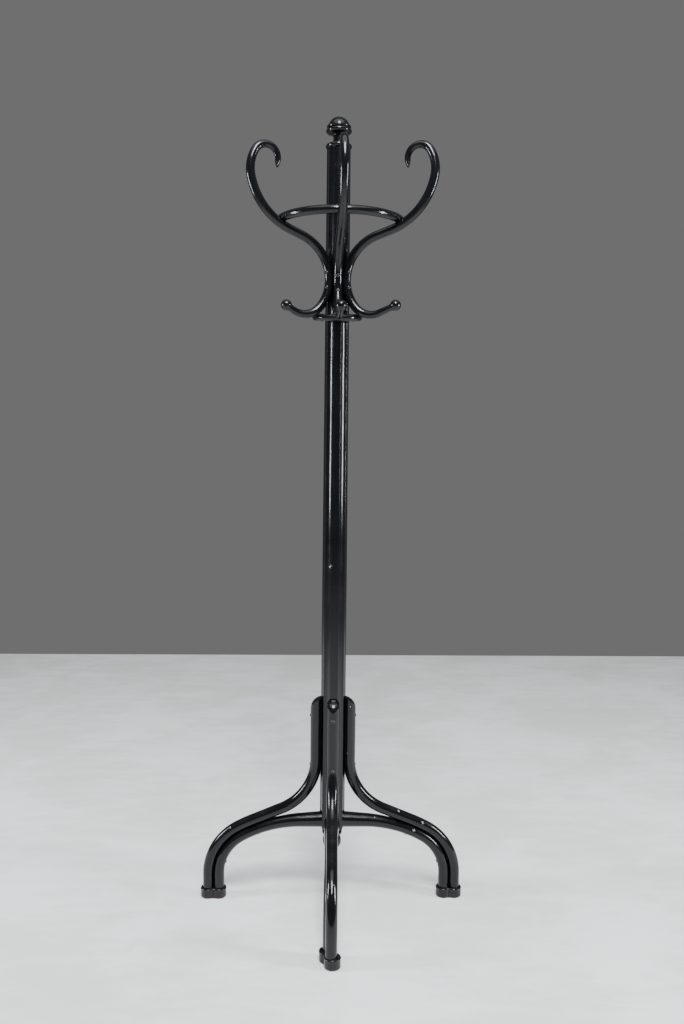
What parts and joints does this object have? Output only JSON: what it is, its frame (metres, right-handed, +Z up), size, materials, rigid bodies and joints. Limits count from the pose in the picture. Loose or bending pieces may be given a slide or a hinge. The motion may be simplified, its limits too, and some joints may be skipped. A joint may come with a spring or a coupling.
{
  "type": "standing coat rack",
  "caption": "Bentwood hat and coat stand for a wall: fluted post on splayed bent legs with arched braces, S-shaped hooks in a fan, half rings, turned finial and pendant.",
  "frame": {"origin": "centre of the footprint's bounding box, on the floor; the post's axis is at x = 0, y = 0.1558 m", "axes": "+Z up along the post; -Y is the front, where the third leg and hook point; +X towards the right hook seen from the front"},
  "size_m": [0.691, 0.3768, 2],
  "materials": {
    "black_lacquer": "gloss",
    "worn_lacquer": "satin, worn to a red-brown undercoat",
    "raw_wood": "bare",
    "screw_paint": "gloss, painted over"
  },
  "bodies": {
    "root": {"post": "black_lacquer", "finial": "black_lacquer", "finial_dowel": "raw_wood", "pendant": "black_lacquer", "pendant_dowel": "raw_wood", "hook_left": "black_lacquer", "hook_front": "black_lacquer", "hook_right": "black_lacquer", "ball_left": "black_lacquer", "ball_front": "black_lacquer", "ball_right": "black_lacquer", "upper_ring": "black_lacquer", "lower_ring": "black_lacquer", "leg_left": "black_lacquer", "leg_front": "black_lacquer", "leg_right": "black_lacquer", "arch_left": "black_lacquer", "arch_front": "black_lacquer", "arch_right": "black_lacquer", "shoe_left": "worn_lacquer", "shoe_front": "worn_lacquer", "shoe_right": "worn_lacquer", "hook_screws": "screw_paint", "ring_screws": "screw_paint", "leg_screws": "screw_paint", "arch_screws": "screw_paint"}
  },
  "joints": []
}
